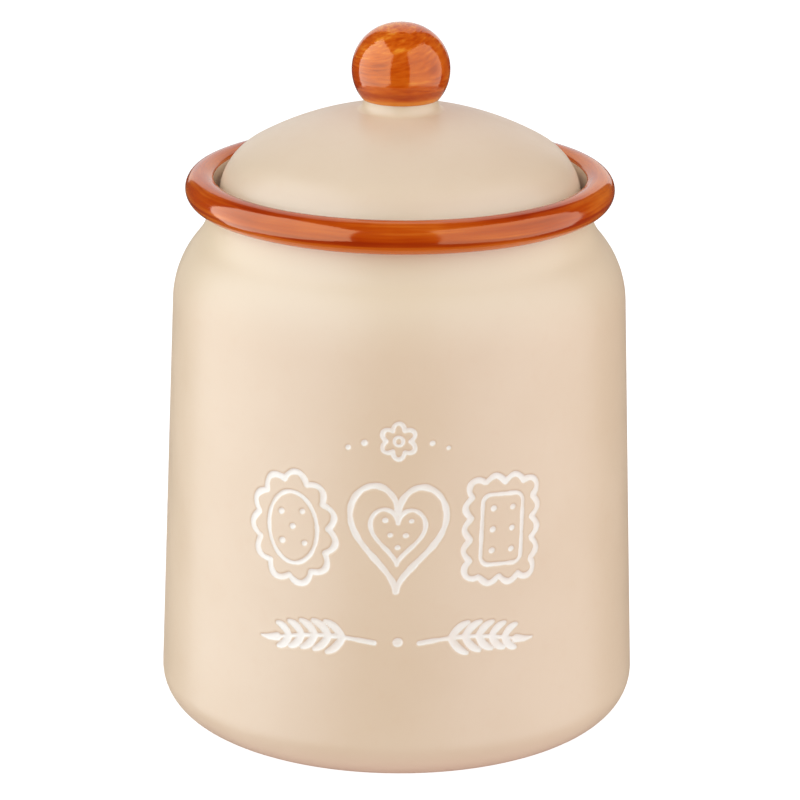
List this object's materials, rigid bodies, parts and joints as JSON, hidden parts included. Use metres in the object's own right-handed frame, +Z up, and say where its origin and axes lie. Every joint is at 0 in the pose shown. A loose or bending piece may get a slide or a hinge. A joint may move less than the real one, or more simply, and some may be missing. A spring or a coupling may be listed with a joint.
{
  "type": "biscuit jar",
  "caption": "Round glazed stoneware biscuit jar with a rolled brown rim and an inset domed lid that lifts off by a ball knob, sealed by a soft ring on its skirt.",
  "frame": {"origin": "middle of the foot ring, on the surface that the jar stands on", "axes": "+Z up along the jar's axis; the incised decoration faces -Y"},
  "size_m": [0.165, 0.165, 0.242],
  "materials": {
    "cream_glaze": "satin cream glaze",
    "brown_glaze": "glossy brushed red-brown glaze",
    "silicone": "matt translucent white silicone"
  },
  "bodies": {
    "jar": {"jar_body": "cream_glaze", "rim_bead": "brown_glaze"},
    "seal": {"lid_seal": "silicone"},
    "lid": {"lid_dome": "cream_glaze", "lid_knob": "brown_glaze"}
  },
  "joints": [
    {"name": "lid_lift", "type": "slide", "parent": "jar", "child": "seal", "axis": [0, 0, 1], "range_m": [0, 0.12]},
    {"name": "lid_turn", "type": "hinge", "parent": "seal", "child": "lid", "pos_m": [0, 0, 0.18], "axis": [0, 0, 1], "continuous": true}
  ]
}
